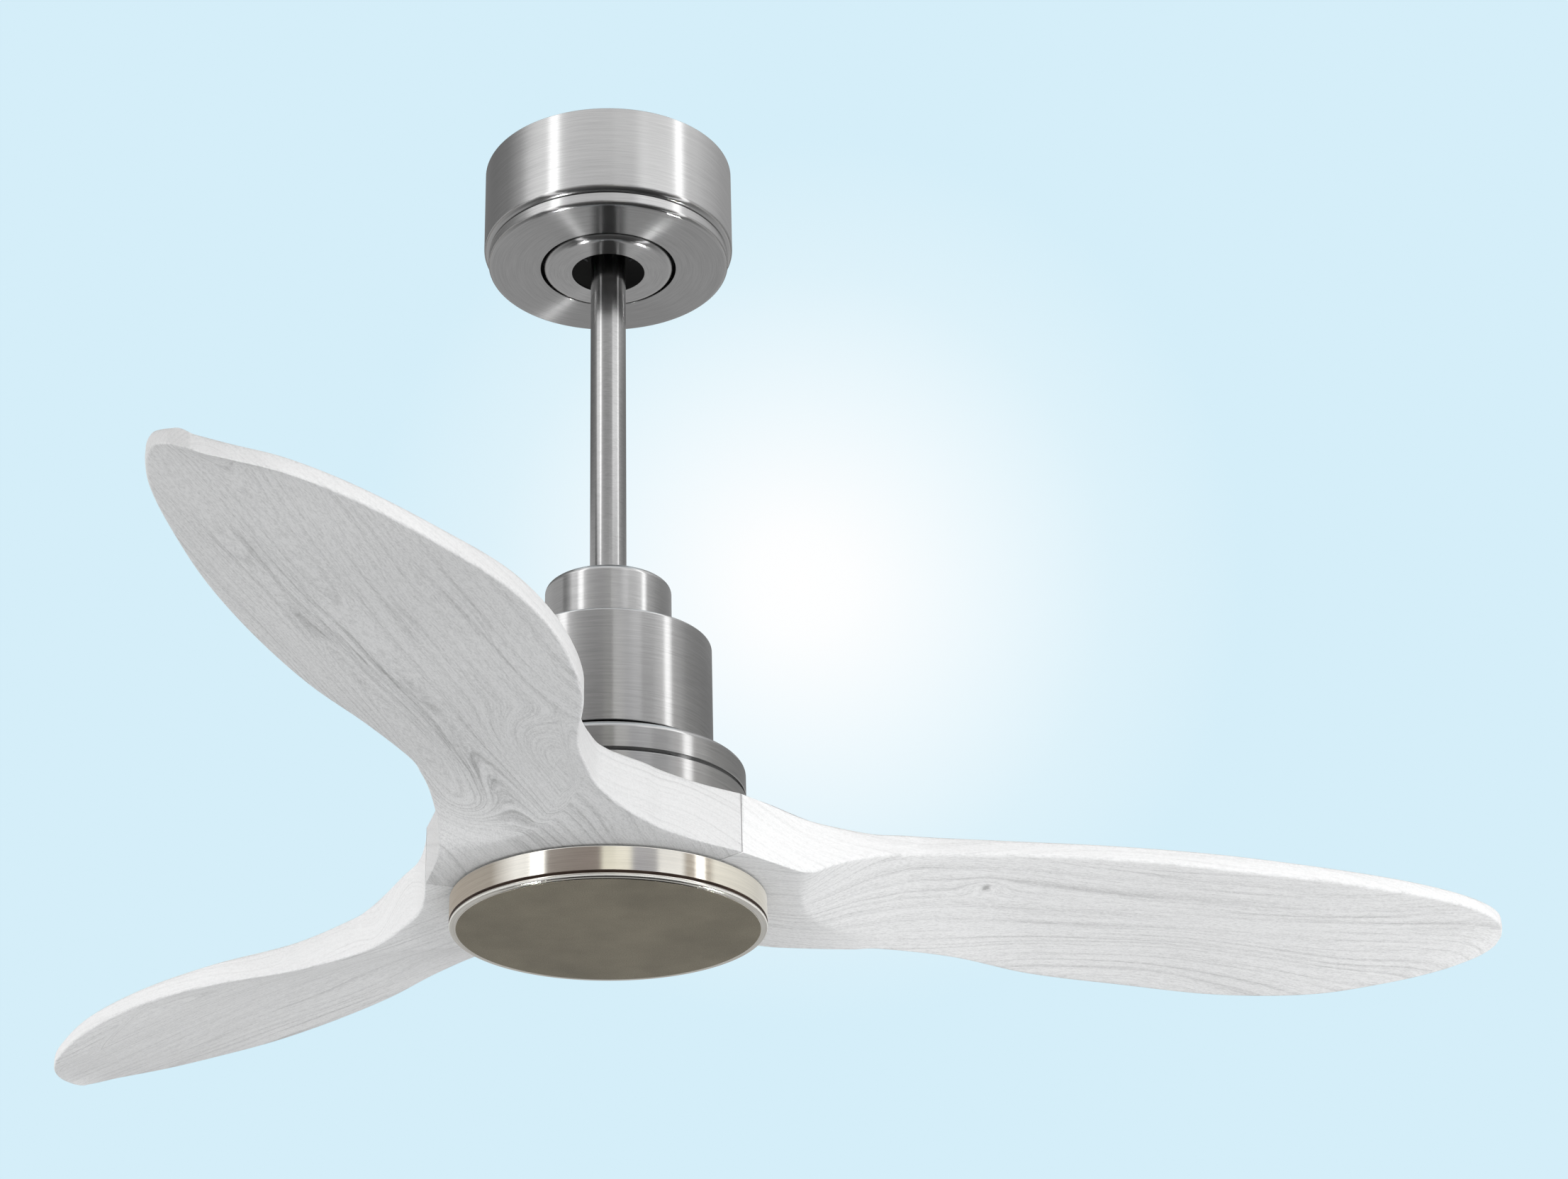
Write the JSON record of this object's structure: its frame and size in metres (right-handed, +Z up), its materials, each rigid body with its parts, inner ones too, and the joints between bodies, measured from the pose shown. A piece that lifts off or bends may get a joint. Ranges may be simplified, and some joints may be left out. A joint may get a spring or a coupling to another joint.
{
  "type": "ceiling fan",
  "caption": "Ceiling fan on a short rod: round canopy, tall brushed motor housing, carved white wooden blades mitred together at the hub, and a flat round cap under it.",
  "frame": {"origin": "centre of the hanger bracket's top face, which lies on the ceiling", "axes": "+Z up, out of the ceiling face; the fan hangs along -Z. +X and +Y lie in the ceiling plane, and the first blade stands 13.7 degrees from +X towards +Y"},
  "size_m": [0.8833, 0.9037, 0.492],
  "materials": {
    "brushed_nickel": "brushed nickel, streaks along the walls and round the flat faces",
    "satin_nickel": "warm satin nickel with a brighter rolled edge",
    "white_wood": "whitewashed open-grain wood, matt",
    "zinc_steel": "zinc-plated steel",
    "cast_metal": "bare cast metal",
    "black_plastic": "black moulded plastic",
    "grey_plastic": "pale grey moulded plastic",
    "green_screw": "green-coated steel",
    "board_green": "green circuit board with its fitted parts",
    "lamination_steel": "stacked steel laminations",
    "copper_wire": "enamelled copper wire",
    "magnet_dark": "bonded magnet, dull dark grey"
  },
  "bodies": {
    "ceiling_mount": {"hanger_bracket": "zinc_steel", "canopy": "brushed_nickel", "canopy_cover": "brushed_nickel", "canopy_screw_1": "zinc_steel", "canopy_screw_2": "zinc_steel", "receiver_module": "grey_plastic", "terminal_block": "black_plastic", "earth_screw": "green_screw"},
    "hanger_pin": {"hanger_pin": "zinc_steel"},
    "hanging": {"hanger_ball": "black_plastic", "ball_set_screw": "zinc_steel", "downrod": "brushed_nickel", "coupling_cover": "brushed_nickel", "coupling_yoke": "cast_metal", "clevis_pin": "zinc_steel", "cotter_pin": "zinc_steel", "yoke_set_screw_1": "zinc_steel", "yoke_set_screw_2": "zinc_steel", "shaft_pin": "zinc_steel", "upper_housing": "brushed_nickel", "housing_screw_1": "zinc_steel", "housing_screw_2": "zinc_steel", "housing_screw_3": "zinc_steel", "housing_base": "black_plastic", "driver_board": "board_green", "motor_shaft": "zinc_steel", "upper_bearing": "zinc_steel", "lower_bearing": "zinc_steel", "stator_core": "lamination_steel", "stator_winding": "copper_wire", "light_kit_plate": "zinc_steel", "light_kit_nut": "zinc_steel", "light_kit_plug": "grey_plastic", "light_cap": "satin_nickel"},
    "rotor": {"motor_shell_upper": "brushed_nickel", "motor_shell_lower": "brushed_nickel", "magnet_ring": "magnet_dark", "shell_screw_1": "zinc_steel", "shell_screw_2": "zinc_steel", "shell_screw_3": "zinc_steel", "blade_1": "white_wood", "blade_2": "white_wood", "blade_3": "white_wood", "blade_clamp_plate": "zinc_steel", "blade_screw_1": "zinc_steel", "blade_screw_2": "zinc_steel", "blade_screw_3": "zinc_steel", "blade_screw_4": "zinc_steel", "blade_screw_5": "zinc_steel", "blade_screw_6": "zinc_steel", "blade_screw_7": "zinc_steel", "blade_screw_8": "zinc_steel", "blade_screw_9": "zinc_steel"}
  },
  "joints": [
    {"name": "hanger_tilt_x", "type": "hinge", "parent": "ceiling_mount", "child": "hanger_pin", "pos_m": [0, 0, -0.03], "axis": [1, 0, 0], "range_deg": [-8, 8]},
    {"name": "hanger_tilt_y", "type": "hinge", "parent": "hanger_pin", "child": "hanging", "pos_m": [0, 0, -0.03], "axis": [0, 1, 0], "range_deg": [-8, 8]},
    {"name": "blade_spin", "type": "hinge", "parent": "hanging", "child": "rotor", "pos_m": [0, 0, -0.42], "axis": [0, 0, -1], "continuous": true}
  ]
}
